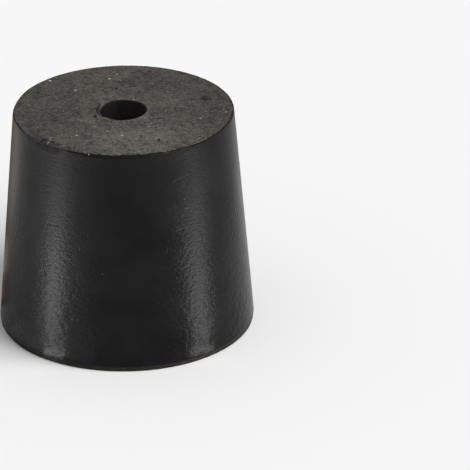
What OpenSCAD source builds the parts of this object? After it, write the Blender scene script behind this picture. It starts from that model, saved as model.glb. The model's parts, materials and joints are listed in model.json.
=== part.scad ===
// Laboratory rubber stopper with one hole, moulded in one piece.
// It stands on its large end. The origin is the centre of that end's face, and +Z runs
// along the hole towards the small end, the one that goes into a flask's neck.

/* [Body] */
// Diameter of the small end
small_end_d = 24; // [18:0.5:32]
// Diameter of the large end, where the taper starts above the land
large_end_d = 28; // [20:0.5:40]
// Length from end face to end face
body_length = 24.8; // [15:0.1:60]

/* [Hole] */
// Diameter of the hole that a tube or a thermometer is pushed through
bore_d = 5; // [3:0.1:10]
// Radius of the rounded mouth at each end of the hole
bore_mouth_r = 0.2; // [0.05:0.05:0.8]

/* [Edges] */
// Radius of the rim of the small end
small_rim_r = 0.25; // [0.05:0.05:1]
// Radius of the rim of the large end
large_rim_r = 0.15; // [0.05:0.05:0.3]
// Height of the straight land that trimming the flash leaves round the large end
land_h = 0.75; // [0.5:0.05:2]
// How far the land lies inside the foot of the taper
land_set_back = 0.06; // [0.02:0.01:0.15]

/* [Hidden] */

// Facets round the body, and steps along each rounded edge
$fn = 180;
edge_steps = 8;

rubber_black = [0.13, 0.125, 0.12];

bore_r = bore_d / 2;
small_r = small_end_d / 2;
taper_foot_r = large_end_d / 2;
land_r = taper_foot_r - land_set_back;

// Lean of the side from the axis, which is also how far its normal points upwards
taper_angle = atan2(taper_foot_r - small_r, body_length - land_h);

// Centre of the small rim's arc: it touches the side and the end face
small_rim_x = small_r - small_rim_r * (1 - sin(taper_angle)) / cos(taper_angle);

// Points along an arc round [x, z], from one angle to another, both ends included
function arc(centre, r, from, to) = [
    for (i = [0 : edge_steps])
        let (a = from + (to - from) * i / edge_steps)
        centre + r * [cos(a), sin(a)]
];

// Half section through the wall: large end, land, taper, small end, and the hole's wall
function section() = concat(
    arc([bore_r + bore_mouth_r, bore_mouth_r], bore_mouth_r, 180, 270),
    arc([land_r - large_rim_r, large_rim_r], large_rim_r, 270, 360),
    [[land_r, land_h - land_set_back], [taper_foot_r, land_h]],
    arc([small_rim_x, body_length - small_rim_r], small_rim_r, taper_angle, 90),
    arc([bore_r + bore_mouth_r, body_length - bore_mouth_r], bore_mouth_r, 90, 180)
);

module stopper() {
    color(rubber_black)
        rotate_extrude()
            polygon(section());
}

stopper();
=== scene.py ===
"""A black rubber stopper with one hole, moulded in one piece and standing on its large end.

One fine skin of revolution takes the plain solid's place. Its taper is satin and moulded, its
two ends are ground, its hole is torn at the mouth, and its rims carry nicks, dust and scratches.
Lengths are in metres, and places on the stopper are given in millimetres from its axis."""

import json
import math

import bpy
import numpy as np
from mathutils import Matrix, Vector, noise


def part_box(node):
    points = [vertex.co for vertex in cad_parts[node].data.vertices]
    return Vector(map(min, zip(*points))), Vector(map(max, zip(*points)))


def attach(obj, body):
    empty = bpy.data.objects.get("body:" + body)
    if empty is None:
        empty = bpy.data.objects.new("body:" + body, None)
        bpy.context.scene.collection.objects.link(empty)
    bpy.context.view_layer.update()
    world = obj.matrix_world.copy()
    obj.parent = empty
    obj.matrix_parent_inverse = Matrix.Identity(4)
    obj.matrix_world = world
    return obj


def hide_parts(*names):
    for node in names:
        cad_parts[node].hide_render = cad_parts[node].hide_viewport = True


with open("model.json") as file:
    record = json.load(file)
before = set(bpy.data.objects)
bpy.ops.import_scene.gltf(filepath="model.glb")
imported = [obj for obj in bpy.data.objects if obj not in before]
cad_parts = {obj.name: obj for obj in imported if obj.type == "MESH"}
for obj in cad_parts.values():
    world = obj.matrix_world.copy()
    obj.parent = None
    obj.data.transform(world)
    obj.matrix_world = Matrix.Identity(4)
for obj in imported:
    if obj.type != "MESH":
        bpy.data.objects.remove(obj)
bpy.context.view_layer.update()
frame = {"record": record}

MM = 0.001
MICRON = 0.000001

# ---- Sizes, from the frame where it holds them

foot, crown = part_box("stopper")
BODY_LENGTH = crown.z
FOOT_R = crown.x
BORE_R = next(m["dims"]["r_mm"] for m in frame["record"]["mounts"] if m["name"] == "bore") * MM
SMALL_END_R = 12.0 * MM
MOUTH_ROUND = 0.1 * MM
SMALL_RIM_ROUND = 0.1 * MM
LARGE_RIM_ROUND = 0.15 * MM
LAND_HEIGHT = 0.75 * MM
LAND_SET_BACK = 0.06 * MM

# Where the skin's rings get closer: near the small end's rim, round its hole and inside its mouth
RIM_ZONE_R = 10.6 * MM
MOUTH_ZONE_R = 3.3 * MM
BORE_LIT_Z = BODY_LENGTH - 3.5 * MM
# Cuts round the skin, one every 0.6 degrees
CUTS = 600

# ---- The skin's rings: a closed half section, walked with the rubber on its left

rings = []


def stretch(start, end, steps, finish, crowd=0.0):
    """Rings along a straight line, without its last point. crowd above 0 packs them near both ends."""
    for step in range(steps):
        share = step / steps
        share += crowd * math.sin(2 * math.pi * share) / (-2 * math.pi)
        rings.append((
            start[0] + (end[0] - start[0]) * share,
            start[1] + (end[1] - start[1]) * share,
            finish,
        ))


def bend(centre, radius, turn_from, turn_to, steps, finish):
    """Rings along an arc of the section, without its last point, with the turns in degrees."""
    for step in range(steps):
        turn = math.radians(turn_from + (turn_to - turn_from) * step / steps)
        rings.append((
            centre[0] + radius * math.cos(turn),
            centre[1] + radius * math.sin(turn),
            finish,
        ))


MOULDED, GROUND, TORN_SHADED_RIM, BORE_WALL, TRIMMED = range(5)


def walk_the_section():
    """Large end, its rim, the trimmed land, the taper, the small rim, the small end and the hole."""
    lean = math.atan2(FOOT_R - SMALL_END_R, BODY_LENGTH - LAND_HEIGHT)
    land_r = FOOT_R - LAND_SET_BACK
    mouth_r = BORE_R + MOUTH_ROUND
    small_arc_r = SMALL_END_R - SMALL_RIM_ROUND * (1 - math.sin(lean)) / math.cos(lean)
    small_arc_z = BODY_LENGTH - SMALL_RIM_ROUND
    taper_top = (
        small_arc_r + SMALL_RIM_ROUND * math.cos(lean),
        small_arc_z + SMALL_RIM_ROUND * math.sin(lean),
    )
    bend((mouth_r, MOUTH_ROUND), MOUTH_ROUND, 180, 270, 4, GROUND)
    stretch((mouth_r, 0), (land_r - LARGE_RIM_ROUND, 0), 5, GROUND)
    bend((land_r - LARGE_RIM_ROUND, LARGE_RIM_ROUND), LARGE_RIM_ROUND, 270, 360, 4, TRIMMED)
    stretch((land_r, LARGE_RIM_ROUND), (land_r, LAND_HEIGHT - LAND_SET_BACK), 7, TRIMMED)
    stretch((land_r, LAND_HEIGHT - LAND_SET_BACK), (FOOT_R, LAND_HEIGHT), 2, TRIMMED)
    stretch((FOOT_R, LAND_HEIGHT), taper_top, 50, MOULDED, crowd=0.8)
    bend((small_arc_r, small_arc_z), SMALL_RIM_ROUND, math.degrees(lean), 90, 5, TORN_SHADED_RIM)
    stretch((small_arc_r, BODY_LENGTH), (RIM_ZONE_R, BODY_LENGTH), 15, GROUND)
    stretch((RIM_ZONE_R, BODY_LENGTH), (MOUTH_ZONE_R, BODY_LENGTH), 41, GROUND)
    stretch((MOUTH_ZONE_R, BODY_LENGTH), (mouth_r, BODY_LENGTH), 14, GROUND)
    bend((mouth_r, BODY_LENGTH - MOUTH_ROUND), MOUTH_ROUND, 90, 180, 4, BORE_WALL)
    stretch((BORE_R, BODY_LENGTH - MOUTH_ROUND), (BORE_R, BORE_LIT_Z), 10, BORE_WALL)
    stretch((BORE_R, BORE_LIT_Z), (BORE_R, MOUTH_ROUND), 4, BORE_WALL)


# ---- Wear that has a shape, as depths in micrometres

# Pits in the small end: x, y, radius and depth
PITS = [
    (-3.08, -1.52, 0.17, 120),
    (-3.06, -1.78, 0.17, 120),
    (3.89, -7.7, 0.15, 100),
    (3.89, -8.05, 0.15, 100),
    (4.8, -8.38, 0.13, 80),
    (5.66, -5.25, 0.13, 30),
    (7.54, -4.0, 0.13, 50),
    (-0.9, 5.7, 0.17, 70),
    (-8.35, -7.6, 0.3, 80),
    (-8.75, -8.3, 0.2, 110),
    (-7.4, -8.15, 0.22, 90),
]
# Where the small rim is worn round: a middle and a half width in degrees from the front, a depth,
# and a reach in from the rim. The bruise comes first, then the front and the left
RIM_ROUNDING = [
    (-47, 9, 240, 1.2),
    (0, 13, 110, 0.45),
    (-103, 8, 90, 0.6),
]
# Nicks in the small rim, in the same terms
RIM_NICKS = [
    (-57, 1.6, 70, 0.5),
    (-52, 1.0, 100, 0.6),
    (-46, 1.2, 120, 0.7),
    (-41, 0.8, 90, 0.5),
    (-17, 0.5, 140, 0.5),
    (9, 0.8, 50, 0.3),
    (24, 0.7, 60, 0.3),
    (33, 0.9, 50, 0.3),
    (51, 1.2, 130, 0.45),
    (61, 1.0, 110, 0.4),
    (75, 1.2, 70, 0.3),
]
# The broken crescent at the hole's mouth: its middle and half width in degrees from the front, how
# far out it reaches, and its depth
CRESCENT_TURN = -84
CRESCENT_HALF_WIDTH = 24
CRESCENT_R = 2.95
CRESCENT_DEPTH = 170
# How far the hole's mouth, which isn't quite round, opens to the front and to the back
MOUTH_OPEN_FRONT = 200
MOUTH_OPEN_BACK = 20
# How rough each band is: an even depth, then swings with their depths, sizes in millimetres and seeds
GROUND_FACE = (22, [(16, 0.33, 1), (8, 1.7, 2)])
BROKEN_RIM = (14, [(24, 0.3, 3), (14, 2.1, 4)])
CUT_LAND = (12, [(12, 0.5, 6), (14, 3, 7)])
EVEN_SIDE = (8, [(5, 4, 8), (1.5, 0.9, 9)])
HOLE_WALL = (0, [(50, 1.8, 10), (30, 0.35, 15)])
# How far the land's upper line droops, in the same terms
LAND_LINE = (170, [(70, 3.5, 13), (25, 0.35, 14)])
# The roughness of the small rim and of the land stops at this depth
DEEPEST_ROUGHNESS = 60


def wander(places, size, seed):
    """Smooth noise between -1 and 1 at each place, with one swing every so many millimetres."""
    shift = Vector((seed * 7.31, seed * 3.17, seed * 5.77))
    return np.array([noise.noise(Vector(place) / (size * MM) + shift) for place in places])


def roughness(places, even, swings):
    """How deep a rough band lies at each place: an even depth with its swings added."""
    return even + sum(depth * wander(places, size, seed) for depth, size, seed in swings)


def rise(value, start, end):
    """0 up to the start, 1 from the end, and straight in between."""
    return np.clip((value - start) / (end - start), 0, 1)


def dent(distance, radius):
    """A smooth hollow: 1 in its middle, and gone at twice its radius."""
    share = np.clip(distance / (2 * radius), 0, 1)
    return (1 - share * share) ** 2


def crescent(radius, z, front, places):
    """How deep each place sinks where the mouth of the hole has broken away."""
    share = dent(np.abs(front - CRESCENT_TURN), CRESCENT_HALF_WIDTH)
    edge = BORE_R / MM + (CRESCENT_R - BORE_R / MM) * np.sqrt(share)
    edge += 0.08 * wander(places, 0.35, 11)
    inside = rise(edge - radius, 0, 0.07) * rise(z, 24.2, 24.5)
    return CRESCENT_DEPTH * inside * (1 + 0.7 * wander(places, 0.22, 12))


def wear(places, finish):
    """How far each place moves in along its normal, down and outwards, in metres."""
    x, y, z = places.T / MM
    radius = np.hypot(x, y)
    front = np.degrees(np.arctan2(x, -y))
    small_end_z = BODY_LENGTH / MM
    small_end_r = SMALL_END_R / MM
    depth = np.zeros(len(places))

    top = ((finish == GROUND) | (finish == TORN_SHADED_RIM)) & (z > small_end_z / 2)
    depth += np.where(top, roughness(places, *GROUND_FACE), 0)
    for pit_x, pit_y, pit_r, pit_depth in PITS:
        depth += np.where(top, pit_depth * dent(np.hypot(x - pit_x, y - pit_y), pit_r), 0)

    upper = z > small_end_z - 0.8
    ragged = roughness(places, *BROKEN_RIM) * (1 - 0.6 * rise(y, 0, 4))
    at_rim = rise(radius, 11.5, 11.9) * rise(z, 24.3, 24.6)
    depth += np.where(upper, np.clip(ragged, 0, DEEPEST_ROUGHNESS) * at_rim, 0)
    crumbs = wander(places, 0.3, 5)
    for marks, crumbling in ((RIM_ROUNDING, 0.2), (RIM_NICKS, 0.8)):
        for middle, half_width, mark_depth, reach in marks:
            bite = dent(np.abs(front - middle), half_width) * (1 + crumbling * crumbs)
            nearness = rise(radius, small_end_r - reach, small_end_r) ** 2
            above = rise(z, small_end_z - 0.6 * reach, small_end_z)
            depth += np.where(upper, mark_depth * bite * nearness * above, 0)

    land = finish == TRIMMED
    depth += np.where(land, np.clip(roughness(places, *CUT_LAND), 0, DEEPEST_ROUGHNESS), 0)
    depth[land & (z < 0.01)] = 0
    side = finish == MOULDED
    depth += np.where(side, roughness(places, *EVEN_SIDE), 0)
    depth += np.where(finish == BORE_WALL, roughness(places, *HOLE_WALL), 0)

    sink = np.where(upper & (radius < 4), crescent(radius, z, front, places), 0)
    near_line = rise(z, 0.3, 0.65) * (1 - rise(z, 0.8, 2.4))
    sink += np.where(land | side, roughness(places, *LAND_LINE) * near_line, 0)
    near_mouth = (1 - rise(radius, 2.6, 3.3)) * rise(z, 20, 23)
    opening = np.where(y < 0, MOUTH_OPEN_FRONT, MOUTH_OPEN_BACK)
    spread = opening * near_mouth * (y / radius) ** 2
    return depth * MICRON, sink * MICRON, spread * MICRON


def skin_mesh():
    """Turns the section round the axis, wears it and gives each band its finish."""
    walk_the_section()
    section = np.array([(radius, height) for radius, height, _ in rings])
    along = np.roll(section, -1, axis=0) - np.roll(section, 1, axis=0)
    along /= np.linalg.norm(along, axis=1)[:, None]
    turns = np.arange(CUTS) * 2 * math.pi / CUTS
    across, back = np.cos(turns), np.sin(turns)

    def round_the_axis(radii, heights):
        return np.stack([
            np.outer(radii, across),
            np.outer(radii, back),
            np.repeat(heights[:, None], CUTS, axis=1),
        ], axis=-1).reshape(-1, 3)

    places = round_the_axis(section[:, 0], section[:, 1])
    normals = round_the_axis(along[:, 1], -along[:, 0])
    finish = np.repeat(np.array([ring[2] for ring in rings]), CUTS)
    depth, sink, spread = wear(places, finish)
    outwards = places * (1, 1, 0) / np.hypot(places[:, 0], places[:, 1])[:, None]
    places = places - normals * depth[:, None] + outwards * spread[:, None]
    places[:, 2] = np.clip(places[:, 2] - sink, 0, BODY_LENGTH)

    count = len(rings)
    ring, cut = np.divmod(np.arange(count * CUTS), CUTS)
    ring_after = (ring + 1) % count
    cut_after = (cut + 1) % CUTS
    quads = np.stack([
        ring * CUTS + cut,
        ring * CUTS + cut_after,
        ring_after * CUTS + cut_after,
        ring_after * CUTS + cut,
    ], axis=-1)
    mesh = bpy.data.meshes.new("rubber_skin")
    mesh.from_pydata(places.tolist(), [], quads.tolist())
    mesh.polygons.foreach_set("material_index", finish.tolist())
    mesh.polygons.foreach_set("use_smooth", [True] * len(quads))
    mesh.validate()
    return mesh


# ---- Finishes

class Wire:
    """A node's output in a finish. Arithmetic on it adds Math nodes to that finish."""

    def __init__(self, finish, socket):
        self.finish = finish
        self.socket = socket

    def maths(self, operation, first, second):
        return self.finish.node("Math", {"operation": operation}, {0: first, 1: second})

    def __add__(self, other):
        return self.maths("ADD", self, other)

    __radd__ = __add__

    def __sub__(self, other):
        return self.maths("SUBTRACT", self, other)

    def __rsub__(self, other):
        return self.maths("SUBTRACT", other, self)

    def __mul__(self, other):
        return self.maths("MULTIPLY", self, other)

    __rmul__ = __mul__

    def at_least(self, other):
        return self.maths("MAXIMUM", self, other)

    def at_most(self, other):
        return self.maths("MINIMUM", self, other)


class Finish:
    """The nodes of one material, or of the world."""

    def __init__(self, owner):
        owner.use_nodes = True
        self.tree = owner.node_tree
        self.tree.nodes.clear()

    def node(self, kind, settings, inputs, output=0):
        """Adds a node of a kind, sets it up, then sets or links its sockets and gives one output."""
        made = self.tree.nodes.new("ShaderNode" + kind)
        for name, value in settings.items():
            setattr(made, name, value)
        for name, value in inputs.items():
            if isinstance(value, Wire):
                self.tree.links.new(value.socket, made.inputs[name])
            else:
                made.inputs[name].default_value = value
        return Wire(self, made.outputs[output]) if made.outputs else None

    def place(self):
        """The place on the stopper, in metres in its own frame."""
        return self.node("TexCoord", {}, {}, "Object")

    def grain(self, place, size, detail=2, stretch_round=1.0, seed=0):
        """Noise with features of a size in millimetres. stretch_round above 1 draws them out level."""
        level = 1 / (size * MM * stretch_round)
        scaled = self.node(
            "VectorMath",
            {"operation": "MULTIPLY_ADD"},
            {0: place, 1: (level, level, 1 / (size * MM)), 2: (seed, seed * 1.7, seed * 2.3)},
        )
        return self.node(
            "TexNoise", {"noise_dimensions": "3D"}, {"Vector": scaled, "Scale": 1, "Detail": detail}
        )

    def between(self, value, low, high, to_low=0.0, to_high=1.0):
        """Carries a value from one range to another, smoothly and without passing its ends."""
        return self.node(
            "MapRange",
            {"interpolation_type": "SMOOTHSTEP"},
            {"Value": value, "From Min": low, "From Max": high, "To Min": to_low, "To Max": to_high},
        )

    def mix(self, share, first, second):
        """A blend of two colours."""
        return self.node("Mix", {"data_type": "RGBA"}, {0: share, 6: first, 7: second}, 2)

    def seen_flat(self, place):
        """The place with its height taken away, for marks on the small end."""
        return self.node("VectorMath", {"operation": "MULTIPLY"}, {0: place, 1: (1, 1, 0)})

    def spot(self, place, middle, radius, soft=0.6):
        """A round mark: 1 in its middle and 0 past its radius, all in millimetres."""
        middle = Vector(middle).to_3d() * MM
        distance = self.node("VectorMath", {"operation": "DISTANCE"}, {0: place, 1: middle}, "Value")
        return self.between(distance, radius * (1 - soft) * MM, radius * MM, 1.0, 0.0)

    def spots(self, place, marks, soft=0.6):
        """Round marks, each with its middle, its radius and its strength."""
        whole = None
        for middle, radius, strength in marks:
            mark = self.spot(place, middle, radius, soft) * strength
            whole = whole.at_least(mark) if whole else mark
        return whole

    def stroke(self, place, points, width):
        """A mark drawn from point to point: 1 along its middle and 0 past half its width."""
        nearest_of_all = None
        points = [Vector(point).to_3d() * MM for point in points]
        for start, end in zip(points, points[1:]):
            line = end - start
            offset = self.node("VectorMath", {"operation": "SUBTRACT"}, {0: place, 1: start})
            along = line / line.length_squared
            share = self.node("VectorMath", {"operation": "DOT_PRODUCT"}, {0: offset, 1: along}, "Value")
            share = share.at_least(0.0).at_most(1.0)
            foot = self.node("VectorMath", {"operation": "SCALE"}, {0: line, "Scale": share})
            distance = self.node("VectorMath", {"operation": "DISTANCE"}, {0: offset, 1: foot}, "Value")
            nearest_of_all = nearest_of_all.at_most(distance) if nearest_of_all else distance
        return self.between(nearest_of_all, 0.15 * width * MM, 0.5 * width * MM, 1.0, 0.0)

    def strokes(self, place, marks):
        """Drawn marks, each with its points, its width and its strength."""
        whole = None
        for points, width, strength in marks:
            mark = self.stroke(place, points, width) * strength
            whole = whole.at_least(mark) if whole else mark
        return whole

    def relief(self, height):
        """The normal of a surface whose height is given in micrometres."""
        return self.node("Bump", {}, {"Height": height, "Distance": MICRON, "Strength": 1.0})

    def surface(self, **sockets):
        """Closes the finish with one surface shader."""
        inputs = {name.replace("_", " "): value for name, value in sockets.items()}
        shader = self.node("BsdfPrincipled", {}, inputs, "BSDF")
        self.node("OutputMaterial", {}, {"Surface": shader})


def grey(level, warmth=0.0):
    """A colour a little to the warm side of a linear grey level."""
    return (level * (1 + warmth), level, level * (1 - warmth * 1.6), 1)


def new_finish(name):
    """A material without a surface yet, the finish that its nodes go into, and the place on it."""
    material = bpy.data.materials.new(name)
    f = Finish(material)
    return material, f, f.place()


# Pale dust on the small end: its place, radius and strength
DUST = [
    ((-8.2, 7.9), 0.2, 1.0),
    ((-7.6, 8.7), 0.13, 0.4),
    ((-0.9, 9.6), 0.15, 0.55),
    ((-1.7, 8.35), 0.17, 0.9),
    ((-5.34, 5.3), 0.19, 0.7),
    ((-6.4, 2.1), 0.13, 0.3),
    ((5.15, 4.0), 0.15, 0.2),
    ((1.05, 2.72), 0.15, 0.35),
    ((-2.35, 1.5), 0.13, 0.25),
    ((8.35, -2.4), 0.13, 0.6),
    ((11.1, -0.8), 0.16, 0.5),
    ((-4.9, -6.58), 0.15, 0.7),
    ((-0.05, -6.7), 0.15, 0.6),
    ((0.55, -2.95), 0.11, 0.25),
    ((2.95, -4.35), 0.15, 0.25),
    ((2.75, -5.65), 0.15, 0.2),
    ((-3.0, -4.4), 0.2, 0.25),
    ((-2.5, -5.0), 0.25, 0.15),
    ((-1.65, -5.65), 0.2, 0.2),
    ((-3.45, -11.35), 0.13, 0.55),
    ((-9.7, -6.45), 0.13, 0.2),
    ((-8.9, -7.7), 0.15, 0.15),
]
# Broad paler patches on the small end, partly dust and partly painted light: the first three paint its
# front lighter, where the light falls. Their middles, radii and strengths
DUST_AND_LIT_FRONT = [
    ((2.2, -8.7), 11.5, 0.8),
    ((-3.4, -3.2), 3.4, 0.6),
    ((3.2, -3.2), 3.4, 0.6),
    ((-1.5, 3.2), 6, 0.35),
    ((4, 1), 6, 0.3),
    ((-1, 11), 7, 0.25),
]
# Dark stains on it
STAINS = [
    ((8.9, 2.85), 0.95, 0.7),
    ((8.9, 2.6), 0.5, 1.0),
    ((8.55, 0.9), 0.6, 0.4),
    ((3.8, 3.1), 0.9, 0.3),
    ((7.45, 0.8), 0.7, 0.25),
    ((9.3, -7.45), 0.35, 0.9),
    ((10.5, -5.75), 0.3, 0.8),
]
# The dark bruise along the rim
BRUISE = [
    ((-10.5, -6.2), 1.0, 1.0),
    ((-9.6, -7.4), 1.5, 1.0),
    ((-8.7, -8.5), 1.75, 1.0),
    ((-7.6, -9.5), 1.5, 1.0),
    ((-6.6, -10.3), 1.1, 1.0),
]
# Dark scratches on the small end: their points, width and strength. The last four are short cuts
# side by side at the rim
SCRATCHES = [
    ([(3.0, -4.2), (3.3, -3.95)], 0.26, 0.9),
    ([(3.45, -3.84), (3.75, -3.6), (4.05, -3.38)], 0.26, 1.0),
    ([(-0.75, 7.5), (-0.4, 7.25), (0.4, 7.4)], 0.36, 0.85),
    ([(7.5, -8.85), (8.2, -8.1), (8.8, -7.4)], 0.22, 0.75),
    ([(7.6, -8.1), (7.9, -7.75)], 0.22, 0.7),
    ([(8.4, -7.15), (8.85, -7.0)], 0.24, 0.7),
    ([(-7.3, -8.75), (-6.8, -8.97), (-6.35, -8.87)], 0.28, 0.75),
    ([(-7.3, -9.62), (-6.7, -9.8)], 0.25, 0.6),
    ([(-9.75, -6.5), (-9.1, -6.58)], 0.25, 0.7),
    ([(-6.0, -9.0), (-5.97, -10.4)], 0.1, 0.85),
    ([(-5.85, -8.9), (-5.8, -10.5)], 0.1, 0.85),
    ([(-5.69, -9.15), (-5.65, -10.55)], 0.1, 0.85),
    ([(-5.55, -9.3), (-5.51, -10.6)], 0.1, 0.85),
]
# Pale edges and smears: the burrs that the scratches threw up, a painted highlight along the right-front
# rim (the third and fourth), a smear, and a fibre on the bruise
SMEARS_AND_RIM_HIGHLIGHT = [
    ([(2.7, -4.35), (2.95, -4.4)], 0.25, 0.25),
    ([(3.15, -4.5), (3.5, -4.15), (4.1, -3.75)], 0.15, 0.12),
    ([(7.45, -9.2), (8.3, -8.4), (9.05, -7.5)], 0.17, 0.17),
    ([(7.55, -8.45), (8.1, -7.75), (8.7, -7.1)], 0.15, 0.12),
    ([(-1.9, -9.25), (-1.1, -9.5)], 0.25, 0.15),
    ([(-7.7, -7.06), (-7.65, -7.7)], 0.13, 0.3),
    ([(-7.65, -7.7), (-7.83, -8.16)], 0.11, 0.07),
    ([(-7.83, -8.16), (-8.04, -8.62)], 0.14, 0.4),
]
BRUISED = (0.034, 0.028, 0.03, 1)


def bruised(f, flat, place):
    """How far the rubber is bruised: fully along the rim, and torn where the bruise ends."""
    torn = f.grain(place, 0.3, 2, seed=11)
    return f.between(f.spots(flat, BRUISE, soft=0.5) + torn * 0.9, 0.8, 1.1)


def rim_shade_line(f, flat, place):
    """The ragged black line along the small rim, which is wider at the front, where the rim is worn
    round: painted shade where the rounded edge catches no light.
    """
    out = f.node("VectorMath", {"operation": "LENGTH"}, {0: flat}, "Value")
    ragged = f.grain(place, 0.4, 2, seed=17) * 0.75 * MM
    front = f.spots(flat, [((0.3, -12), 4.4, 0.17), ((10.6, -5.6), 5.6, 0.06)], soft=0.3) * MM
    bare = 1 - bruised(f, flat, place)
    return f.between(out + ragged + front, 12.19 * MM, 12.28 * MM) * bare


def ground_end():
    """The ends: ground rubber, grey with its own fine dust, mottled, pitted and scuffed, with painted
    light: a lighter front, highlights at the lips, and shade in the pits, round the crescent and along
    the small rim.
    """
    material, f, place = new_finish("ground_end")
    flat = f.seen_flat(place)
    fine = f.grain(place, 0.26, 3, seed=1)
    coarse = f.grain(place, 0.9, 2, seed=2)
    patches = f.grain(place, 4.5, 2, seed=3)
    soft = f.grain(place, 1.9, 2, seed=15)
    speckle = f.between(fine * 1.3 + coarse * 0.8 + soft * 0.45 + patches * 0.45, 1.06, 1.94)
    plain = f.mix(speckle, grey(0.0185, 0.08), grey(0.068, 0.09))
    # Painted light: the paler patches stand partly for dust and partly for light falling on the front.
    dusty_and_lit = f.mix(speckle, grey(0.0305, 0.08), grey(0.131, 0.08))
    dust_and_lit_front = f.spots(flat, DUST_AND_LIT_FRONT, soft=0.95)
    colour = f.mix(dust_and_lit_front, plain, dusty_and_lit)
    flecks = f.between(f.grain(place, 0.26, 1, seed=10), 0.62, 0.76) * 0.32
    colour = f.mix(flecks, colour, grey(0.25, 0.06))
    # Painted highlight: a paler ring along the hole's lip and a paler patch in front of the bore.
    lip_highlight = f.spot(flat, (0, 0), 3.2, soft=0.12) * 0.07 + f.spot(flat, (1.8, -2.1), 1.5) * 0.15
    colour = f.mix(lip_highlight, colour, grey(0.2, 0.02))
    crumbs = f.mix(f.between(f.grain(place, 0.22, 1, seed=16), 0.5, 0.72), BRUISED, grey(0.09))
    colour = f.mix(bruised(f, flat, place), colour, crumbs)
    # Painted shade in the pits, with the dark stains and scratches.
    pit_shade = f.spots(flat, [((x, y), radius * 1.4, 1.0) for x, y, radius, _ in PITS], soft=0.4)
    dark_marks = pit_shade.at_least(f.spots(flat, STAINS, soft=0.65)).at_least(f.strokes(flat, SCRATCHES))
    colour = f.mix(dark_marks, colour, grey(0.007))
    # Painted shade: the line round the broken crescent and the line along the small rim.
    colour = f.mix(crescent_edge_shade(f, flat, place).at_least(rim_shade_line(f, flat, place)), colour, grey(0.004))
    # Pale dust and smears, with a painted highlight along the right-front rim.
    colour = f.mix(f.spots(flat, DUST).at_least(f.strokes(flat, SMEARS_AND_RIM_HIGHLIGHT)), colour, grey(0.5, 0.03))
    f.surface(
        Base_Color=colour,
        Roughness=f.between(fine, 0.3, 0.7, 0.85, 0.7),
        Specular_IOR_Level=0.12,
        Normal=f.relief(fine * 22 + coarse * 14),
    )
    return material


def crescent_edge_shade(f, flat, place):
    """Painted shade at the broken crescent of the hole's mouth: the thin line round it, and dark specks
    where its inner edge drops into the hole.
    """
    turn = math.radians(CRESCENT_TURN)
    middle = (2.6 * math.sin(turn), -2.6 * math.cos(turn))
    near = f.spot(flat, middle, 2.1, soft=0.3)
    out = f.node("VectorMath", {"operation": "LENGTH"}, {0: flat}, "Value")
    # Painted shade along the crescent's outer step.
    line = f.between(out, 2.74 * MM, 2.82 * MM) * f.between(out, 2.96 * MM, 3.04 * MM, 1.0, 0.0)
    crumbs = f.between(f.grain(place, 0.24, 1, seed=12), 0.4, 0.48)
    inside = f.between(out, 2.56 * MM, 2.68 * MM, 1.0, 0.0)
    return near * (line + inside * crumbs).at_most(1.0)


def on_taper(turn, height):
    """The point of the side at a turn from the front in degrees and a height in millimetres."""
    radius = (FOOT_R + (SMALL_END_R - FOOT_R) * height * MM / BODY_LENGTH) / MM
    return (radius * math.sin(math.radians(turn)), -radius * math.cos(math.radians(turn)), height)


# Marks on the side: creases and scratches with their points, widths and strengths, then dabs with
# their middles, radii and strengths
CREASES = [
    ([on_taper(-40, 15.8), on_taper(-36, 15.95), on_taper(-33.5, 16.0)], 0.35, 0.45),
    ([on_taper(-45, 19.2), on_taper(-39, 19.6)], 0.25, 0.5),
    ([on_taper(27, 21.2), on_taper(35, 21.5)], 0.45, 0.4),
    ([on_taper(22.5, 18.3), on_taper(28.6, 18.1)], 0.3, 0.5),
    ([on_taper(21.5, 17.2), on_taper(27.8, 17.2)], 0.3, 0.5),
]
SIDE_SCRATCHES = [
    ([on_taper(31.7, 17.95), on_taper(34.3, 17.85)], 0.12, 0.2),
    ([on_taper(26, 15.6), on_taper(29, 15.75), on_taper(32, 15.8)], 0.11, 0.3),
    ([on_taper(26.5, 16.0), on_taper(31.5, 16.1)], 0.1, 0.22),
    ([on_taper(27, 17.6), on_taper(34.5, 17.9)], 0.1, 0.12),
]
SIDE_DABS = [
    (on_taper(32, 19), 0.12, 0.35),
    (on_taper(-24.5, 5.6), 0.14, 0.5),
    (on_taper(-10, 11.3), 0.13, 0.3),
]
DIMPLE = on_taper(15, 7)


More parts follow.
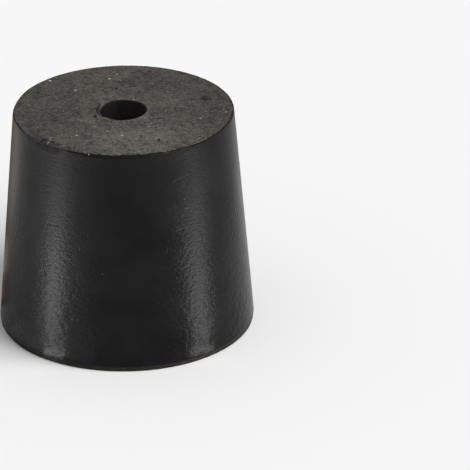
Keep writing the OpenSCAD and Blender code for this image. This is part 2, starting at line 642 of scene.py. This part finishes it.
def moulded_side():
    """The taper: satin, with an orange peel, level hairlines and pinholes from the mould, and a painted
    shade under the small rim at the front.
    """
    material, f, place = new_finish("moulded_side")
    flat = f.seen_flat(place)
    height_up = f.node("SeparateXYZ", {}, {0: place}, "Z")
    peel = f.grain(place, 0.28, 1, stretch_round=1.9, seed=4)
    grit = f.grain(place, 0.2, 2, seed=13)
    hairs = f.grain(place, 0.16, 2, stretch_round=12, seed=5)
    lumps = f.grain(place, 0.8, 1, stretch_round=1.3, seed=18)
    cloud = f.grain(place, 5, 2, seed=6)
    pinholes = f.between(f.grain(place, 0.5, 0, seed=14), 0.24, 0.3, 1.0, 0.0)

    colour = f.mix(f.between(cloud, 0.3, 0.7), grey(0.0012, 0.02), grey(0.0042, 0.03))
    # Painted shade under the small rim at the front, where the edge catches no light.
    front_rim_shade = f.spot(flat, (0, -12), 4.6, soft=0.4) * f.between(height_up, 24.35 * MM, 24.5 * MM)
    colour = f.mix(front_rim_shade, colour, grey(0.001))
    bruise = f.spots(flat, BRUISE, soft=1.0) * f.between(height_up, 23.4 * MM, 24.6 * MM)
    colour = f.mix(bruise, colour, grey(0.016))
    pale_marks = f.strokes(place, SIDE_SCRATCHES).at_least(f.spots(place, SIDE_DABS))
    colour = f.mix(pale_marks, colour, grey(0.09, 0.02))

    skin = peel * 42 + grit * 20 - pinholes * 12
    height = skin * f.between(height_up, 12 * MM, 20 * MM, 1.0, 0.42)
    height = height + lumps * f.between(height_up, 3 * MM, 11 * MM, 80, 0)
    height = height + hairs * f.between(height_up, 9 * MM, 14 * MM, 6, 13)
    height = height - f.strokes(place, CREASES) * 32 - f.spot(place, DIMPLE, 0.4) * 15
    f.surface(
        Base_Color=colour,
        Roughness=f.between(height_up, 11 * MM, 22 * MM, 0.28, 0.36) + cloud * 0.03,
        Specular_IOR_Level=0.12,
        Normal=f.relief(height),
    )
    return material


def rim_painted_shade():
    """The small end's rim: broken rubber, painted blacker than what lies on either side of it, as
    painted shade where the rounded edge catches no light.
    """
    material, f, place = new_finish("rim_painted_shade")
    crumbs = f.grain(place, 0.25, 3, seed=7)
    # Painted shade: the rim is coloured near black where its rounded edge catches no light.
    colour = f.mix(f.between(crumbs, 0.4, 0.7), grey(0.002), grey(0.014, 0.15))
    colour = f.mix(bruised(f, f.seen_flat(place), place), colour, BRUISED)
    f.surface(
        Base_Color=colour,
        Roughness=0.75,
        Specular_IOR_Level=0.0,
        Normal=f.relief(crumbs * 30),
    )
    return material


def bore_wall():
    """The hole's wall: dark, and a little rough from the pin that formed it, with painted light: paler
    towards its right side and darker near the mouth.
    """
    material, f, place = new_finish("bore_wall")
    rough = f.grain(place, 0.5, 3, seed=8)
    across = f.node("SeparateXYZ", {}, {0: place}, "X")
    height_up = f.node("SeparateXYZ", {}, {0: place}, "Z")
    # Painted light: the right side of the wall is coloured paler.
    painted_light = f.between(across, -0.7 * MM, 1.7 * MM) * 0.9 + rough * 0.2 - 0.05
    colour = f.mix(painted_light, grey(0.0065, 0.03), grey(0.034, 0.03))
    # Painted shade: the wall is coloured darker near the mouth.
    near_mouth = f.between(height_up, 22.8 * MM, 24.8 * MM)
    colour = f.mix(near_mouth * 0.5, colour, grey(0.003))
    f.surface(
        Base_Color=colour,
        Roughness=0.6,
        Specular_IOR_Level=0.1,
        Normal=f.relief(rough * 30),
    )
    return material


def trimmed_land():
    """The land where the flash was trimmed off: a dull cut band under a ragged line."""
    material, f, place = new_finish("trimmed_land")
    cut = f.grain(place, 0.12, 3, stretch_round=7, seed=9)
    colour = f.mix(f.between(cut, 0.3, 0.75), grey(0.01, 0.12), grey(0.028, 0.12))
    f.surface(
        Base_Color=colour,
        Roughness=0.55,
        Specular_IOR_Level=0.06,
        Normal=f.relief(cut * 18),
    )
    return material


stopper = bpy.data.objects.new("rubber_stopper", skin_mesh())
bpy.context.scene.collection.objects.link(stopper)
for finish_of_band in (moulded_side, ground_end, rim_painted_shade, bore_wall, trimmed_land):
    stopper.data.materials.append(finish_of_band())
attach(stopper, "root")
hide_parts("stopper")

# ---- Studio

# The floor's half width in millimetres, its grey level, and the sky's light on everything
FLOOR_HALF = 2500
FLOOR_LEVEL = 0.88
SKY_LIGHT = 0.45
# Two dull sheets on the bench, behind the stopper at its left and its right, which darken its edges
LEFT_SHEET_COLOUR = (0.29, 0.19, 0.145, 1)
LEFT_SHEET_CORNERS = [(-14.6, 2), (-16, 16), (-18, 70), (-49, 70), (-38, 44), (-27, 18), (-19.5, 2)]
RIGHT_SHEET_COLOUR = (0.62, 0.62, 0.62, 1)
RIGHT_SHEET_CORNERS = [(38, 8), (85, 8), (85, 60), (38, 60)]
# The main light: its strength, how far it leans to the right and to the front, and its width
KEY_LIGHT = 1.15
KEY_LEAN_RIGHT = math.radians(55)
KEY_LEAN_FRONT = math.radians(22)
KEY_WIDTH = math.radians(50)


def seen_straight(f):
    """1 for rays that show the background itself: from the camera, off gloss or through glass."""
    shown = f.node("LightPath", {}, {}, "Is Camera Ray")
    for ray in ("Is Glossy Ray", "Is Transmission Ray"):
        shown = shown.at_least(f.node("LightPath", {}, {}, ray))
    return shown


def matt_sheet(name, colour, corners, height):
    """A level matt sheet, with its corners in millimetres."""
    material = bpy.data.materials.new(name)
    f = Finish(material)
    plain = f.node("BsdfDiffuse", {}, {"Color": colour})
    f.node("OutputMaterial", {}, {"Surface": plain})
    mesh = bpy.data.meshes.new(name)
    mesh.from_pydata([(x * MM, y * MM, height) for x, y in corners], [], [range(len(corners))])
    mesh.materials.append(material)
    sheet = bpy.data.objects.new(name, mesh)
    bpy.context.scene.collection.objects.link(sheet)
    return sheet


def pale_floor():
    """A plain floor, which comes out nearly white under the studio's light."""
    corners = [(x * FLOOR_HALF, y * FLOOR_HALF) for x, y in ((-1, -1), (1, -1), (1, 1), (-1, 1))]
    floor = matt_sheet("floor", grey(FLOOR_LEVEL), corners, 0)


def dull_sheet(name, colour, corners):
    """A sheet on the floor which shows only in the gloss."""
    sheet = matt_sheet(name, colour, corners, 0.1 * MM)
    sheet.visible_camera = False
    sheet.visible_diffuse = False
    sheet.visible_shadow = False


def white_world():
    """White where it is seen straight, and a plain grey sky for the light it gives."""
    world = bpy.data.worlds.new("studio_sky")
    f = Finish(world)
    sky = f.node("Background", {}, {"Color": grey(1.0), "Strength": SKY_LIGHT})
    white = f.node("Background", {}, {"Color": grey(1.0), "Strength": 1.0})
    shown = f.node("MixShader", {}, {0: seen_straight(f), 1: sky, 2: white})
    f.node("OutputWorld", {}, {"Surface": shown})
    bpy.context.scene.world = world


def key_light():
    """One broad and soft light from high on the right."""
    lamp = bpy.data.lights.new("key_light", "SUN")
    lamp.energy = KEY_LIGHT * math.pi
    lamp.angle = KEY_WIDTH
    key = bpy.data.objects.new("key_light", lamp)
    key.rotation_euler = (KEY_LEAN_FRONT, KEY_LEAN_RIGHT, 0)
    bpy.context.scene.collection.objects.link(key)


# Low panels stand in five fans. Each fan starts at a place under the stopper or at its foot
LEFT_FAN = (-7.8 * MM, -11.55 * MM)
RIGHT_FAN = (8.4 * MM, -11.1 * MM)
LEFT_BESIDE_FAN = (0, 0)
LEFT_BACK_FAN = (-13.6 * MM, -1 * MM)
RIGHT_BACK_FAN = (13.6 * MM, -1 * MM)
PANEL_HEIGHT = 0.2 * MM
# The way each panel lies from there, in degrees from the front, its nearest and furthest edges, its
# half width and its radiance
LEFT_PANELS = [
    (-71, 9, 14, 2.2, 9.8),
    (-71, 14, 20, 3.1, 10.4),
    (-92, 9, 15, 2.3, 1.4),
    (-70.5, 20, 28, 4.8, 11.1),
    (-72, 28, 40, 5.6, 11.1),
    (-70, 40, 52, 7.6, 8.8),
    (-69, 52, 66, 9.5, 6.4),
    (-68, 66, 110, 14, 4.2),
    (-50, 60, 110, 26, 1.55),
    (-88, 40, 110, 12, 1.6),
    (-37, 2, 12, 2, 1.0),
    (-12, 2, 14, 3.5, 0.75),
    (-39, 12, 40, 5, 1.15),
    (-40, 40, 58, 9, 1.15),
    (-24, 58, 115, 18, 1.8),
]
RIGHT_PANELS = [
    (71, 9, 20, 3.0, 9.5),
    (72, 20, 40, 5.2, 9.5),
    (76, 40, 60, 8.7, 7.0),
    (80, 60, 110, 14, 3.2),
    (60, 60, 110, 26, 1.3),
]
LEFT_BESIDE_PANELS = [
    (-50, 15, 18.2, 1.7, 1.1),
    (-65, 15, 18.2, 2.6, 0.35),
]
LEFT_BACK_PANELS = [
    (-157, 5, 12, 1.2, 0.2),
    (-157, 12, 21, 1.8, 0.85),
    (-138, 37, 66, 6, 1.25),
]
RIGHT_BACK_PANELS = [
    (152, 33, 62, 6, 0.4),
]
# The cards at the start of the left and right fans, which lean back: their turns, distances, lengths
# up the slope, half widths and radiances. They shine only one way, as through a grid
LEFT_CARDS = [
    (-62, 1.3, 0.8, 1.4, 1.45),
    (-67, 3.7, 0.7, 1.5, 1.25),
    (-69, 6.0, 1.1, 1.6, 1.3),
]
RIGHT_CARDS = [
    (61, 1.3, 0.8, 1.7, 1.3),
    (67, 3.7, 0.7, 1.6, 1.15),
    (70, 6.0, 1.1, 1.8, 1.25),
]
CARD_TILT = math.radians(72)
CARD_SPREAD = math.radians(80)
# The colours of the panels' light
SIDE_TINT = (1, 0.965, 0.975)
BACK_TINT = (1, 0.75, 0.65)


def bench_panel(name, fan, turn, near, length, half_width, radiance, tilt=0.0):
    """A low panel beside the stopper. It lies on the bench and shines up, or is tilted to face it."""
    turn = math.radians(turn)
    start = Vector((*fan, PANEL_HEIGHT))
    out = Vector((math.sin(turn), -math.cos(turn), 0))
    slope = out * math.cos(tilt) + Vector((0, 0, math.sin(tilt)))
    lamp = bpy.data.lights.new(name, "AREA")
    lamp.shape = "RECTANGLE"
    lamp.size = 2 * half_width * MM
    lamp.size_y = length * MM
    lamp.energy = radiance * math.pi * lamp.size * lamp.size_y
    panel = bpy.data.objects.new(name, lamp)
    panel.matrix_world = (
        Matrix.Translation(start + out * near * MM + slope * length * MM / 2)
        @ Matrix.Rotation(turn, 4, "Z")
        @ Matrix.Rotation(math.pi - tilt, 4, "X")
    )
    panel.visible_camera = False
    bpy.context.scene.collection.objects.link(panel)
    return lamp


def studio():
    """A pale floor and sky, a broad light from the right, and low panels and cards at both sides."""
    pale_floor()
    dull_sheet("brown_sheet", LEFT_SHEET_COLOUR, LEFT_SHEET_CORNERS)
    dull_sheet("grey_sheet", RIGHT_SHEET_COLOUR, RIGHT_SHEET_CORNERS)
    white_world()
    key_light()
    for side, fan, panels, tint in (
        ("left", LEFT_FAN, LEFT_PANELS, SIDE_TINT),
        ("right", RIGHT_FAN, RIGHT_PANELS, SIDE_TINT),
        ("left_beside", LEFT_BESIDE_FAN, LEFT_BESIDE_PANELS, SIDE_TINT),
        ("left_back", LEFT_BACK_FAN, LEFT_BACK_PANELS, BACK_TINT),
        ("right_back", RIGHT_BACK_FAN, RIGHT_BACK_PANELS, SIDE_TINT),
    ):
        for number, (turn, near, far, half_width, radiance) in enumerate(panels):
            lamp = bench_panel(
                f"panel_{side}_{number}", fan, turn, near, far - near, half_width, radiance
            )
            lamp.color = tint
    for side, fan, cards in (("left", LEFT_FAN, LEFT_CARDS), ("right", RIGHT_FAN, RIGHT_CARDS)):
        for number, card in enumerate(cards):
            bench_panel(f"card_{side}_{number}", fan, *card, tilt=CARD_TILT).spread = CARD_SPREAD


# ---- Camera: it looks down along +Y, past the stopper, which stands left of and above its aim

LENS = 364.0
DISTANCE = 515.0 * MM
LOOKING_DOWN = math.radians(25.73)
ROLL = math.radians(-0.42)
# Where the small end's centre stands from the line of sight: to the right, and down
SIGHT_RIGHT = -12.08 * MM
SIGHT_DOWN = -13.6 * MM


def studio_camera():
    """A long lens, looking down on the small end."""
    ahead = Vector((0, math.cos(LOOKING_DOWN), -math.sin(LOOKING_DOWN)))
    level_right = Vector((1, 0, 0))
    level_down = ahead.cross(level_right)
    right = math.cos(ROLL) * level_right - math.sin(ROLL) * level_down
    down = math.sin(ROLL) * level_right + math.cos(ROLL) * level_down
    small_end = Vector((0, 0, BODY_LENGTH))
    place = small_end - SIGHT_RIGHT * right - SIGHT_DOWN * down - DISTANCE * ahead
    data = bpy.data.cameras.new("studio_camera")
    data.lens = LENS
    data.clip_start = 0.05
    data.clip_end = 10
    camera = bpy.data.objects.new("studio_camera", data)
    camera.matrix_world = Matrix((
        (right.x, -down.x, -ahead.x, place.x),
        (right.y, -down.y, -ahead.y, place.y),
        (right.z, -down.z, -ahead.z, place.z),
        (0, 0, 0, 1),
    ))
    bpy.context.scene.collection.objects.link(camera)
    bpy.context.scene.camera = camera


studio()
studio_camera()
bpy.context.scene.view_settings.view_transform = "Standard"
